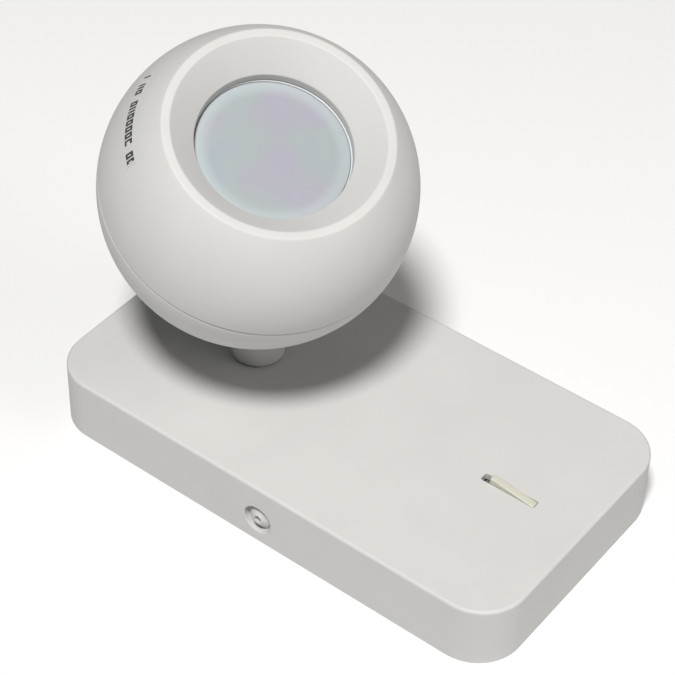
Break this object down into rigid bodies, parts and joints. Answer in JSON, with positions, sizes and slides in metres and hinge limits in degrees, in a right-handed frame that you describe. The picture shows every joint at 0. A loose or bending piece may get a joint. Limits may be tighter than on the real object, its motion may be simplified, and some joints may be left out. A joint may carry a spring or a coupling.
{
  "type": "wall spotlight with switch",
  "caption": "Rectangular wall base with a small rocker switch, a short stem and a swivelling, tilting ball head that opens for a twist-lock reflector lamp.",
  "frame": {"origin": "middle of the base's rear face, which lies on the wall", "axes": "+X along the base from the ball towards the switch, +Z away from the wall"},
  "size_m": [0.1782, 0.1, 0.1394],
  "materials": {
    "powder_coat": "fine matt white powder coat",
    "zinc_steel": "bright zinc plated steel",
    "brass": "nickel-free brass",
    "black_rubber": "soft moulded rubber",
    "nylon_white": "natural nylon",
    "rocker_cream": "satin ivory plastic",
    "ceramic": "unglazed steatite",
    "lead_brown": "brown silicone insulation",
    "lead_blue": "blue silicone insulation",
    "lead_green": "green and yellow insulation",
    "label_film": "printed white film with plain bars",
    "lamp_rim": "white polycarbonate",
    "lamp_diffuser": "frosted polycarbonate",
    "lamp_aluminium": "die-cast aluminium",
    "board_white": "white solder mask",
    "phosphor": "yellow phosphor",
    "lamp_cap": "white moulded cap"
  },
  "bodies": {
    "base": {"wall_bracket": "zinc_steel", "base_cover": "powder_coat", "cover_screw_front": "powder_coat", "cover_screw_back": "powder_coat", "bracket_nut_front": "zinc_steel", "bracket_nut_back": "zinc_steel", "cable_grommet": "black_rubber", "terminal_block": "nylon_white", "terminal_insert_1": "brass", "terminal_insert_2": "brass", "terminal_insert_3": "brass", "terminal_screws": "zinc_steel", "block_screw": "zinc_steel", "earth_stud": "zinc_steel", "earth_tag": "brass", "earth_nut": "zinc_steel", "switch_housing": "nylon_white", "switch_pin": "zinc_steel", "switch_contacts": "brass", "lead_feed": "lead_brown", "lead_live": "lead_brown", "lead_neutral": "lead_blue", "lead_earth": "lead_green"},
    "rocker": {"switch_rocker": "rocker_cream", "switch_plunger": "brass"},
    "bridge": {"contact_bridge": "brass"},
    "stem": {"stem_sleeve": "powder_coat", "sleeve_washer": "nylon_white", "threaded_tube": "zinc_steel", "yoke": "zinc_steel", "yoke_nut": "zinc_steel", "under_washer": "nylon_white", "stop_washer": "zinc_steel", "wave_washer": "zinc_steel", "swivel_nut": "zinc_steel", "lock_nut": "zinc_steel", "stem_lead_live": "lead_brown", "stem_lead_neutral": "lead_blue"},
    "head": {"rear_shell": "powder_coat", "pivot_screw_front": "zinc_steel", "pivot_screw_back": "zinc_steel", "pivot_washer_front": "nylon_white", "pivot_washer_back": "nylon_white", "lamp_carrier": "zinc_steel", "carrier_screws": "zinc_steel", "lampholder_body": "ceramic", "lampholder_contacts": "brass", "lampholder_screws": "zinc_steel", "head_lead_live": "lead_brown", "head_lead_neutral": "lead_blue"},
    "front": {"front_shell": "powder_coat", "rating_label": "label_film"},
    "lamp": {"lamp_bezel": "lamp_rim", "lamp_lens": "lamp_diffuser", "lamp_body": "lamp_aluminium", "led_board": "board_white", "led_chips": "phosphor", "lamp_base": "lamp_cap", "lamp_pins": "brass"}
  },
  "joints": [
    {"name": "head_swivel", "type": "hinge", "parent": "base", "child": "stem", "pos_m": [-0.0392, 0, 0.0235], "axis": [0, 0, 1], "range_deg": [-133, 183]},
    {"name": "head_tilt", "type": "hinge", "parent": "stem", "child": "head", "pos_m": [-0.0392, 0, 0.0927], "axis": [0.4226, 0.9063, 0], "range_deg": [-84, 35]},
    {"name": "front_twist", "type": "hinge", "parent": "head", "child": "front", "pos_m": [-0.0392, 0, 0.0927], "axis": [0.3773, -0.1759, 0.9092], "range_deg": [0, 24.5]},
    {"name": "lamp_twist", "type": "hinge", "parent": "head", "child": "lamp", "pos_m": [-0.0392, 0, 0.0927], "axis": [0.3773, -0.1759, 0.9092], "range_deg": [0, 17.5]},
    {"name": "rocker_tip", "type": "hinge", "parent": "base", "child": "rocker", "pos_m": [0.061, 0, 0.0135], "axis": [0, -1, 0], "range_deg": [0, 16]},
    {"name": "bridge_tip", "type": "hinge", "parent": "base", "child": "bridge", "pos_m": [0.061, 0, 0.006], "axis": [0, 1, 0], "range_deg": [0, 12]}
  ],
  "couplings": [
    {"joint": "bridge_tip", "follows": "rocker_tip", "ratio": 0.75}
  ]
}
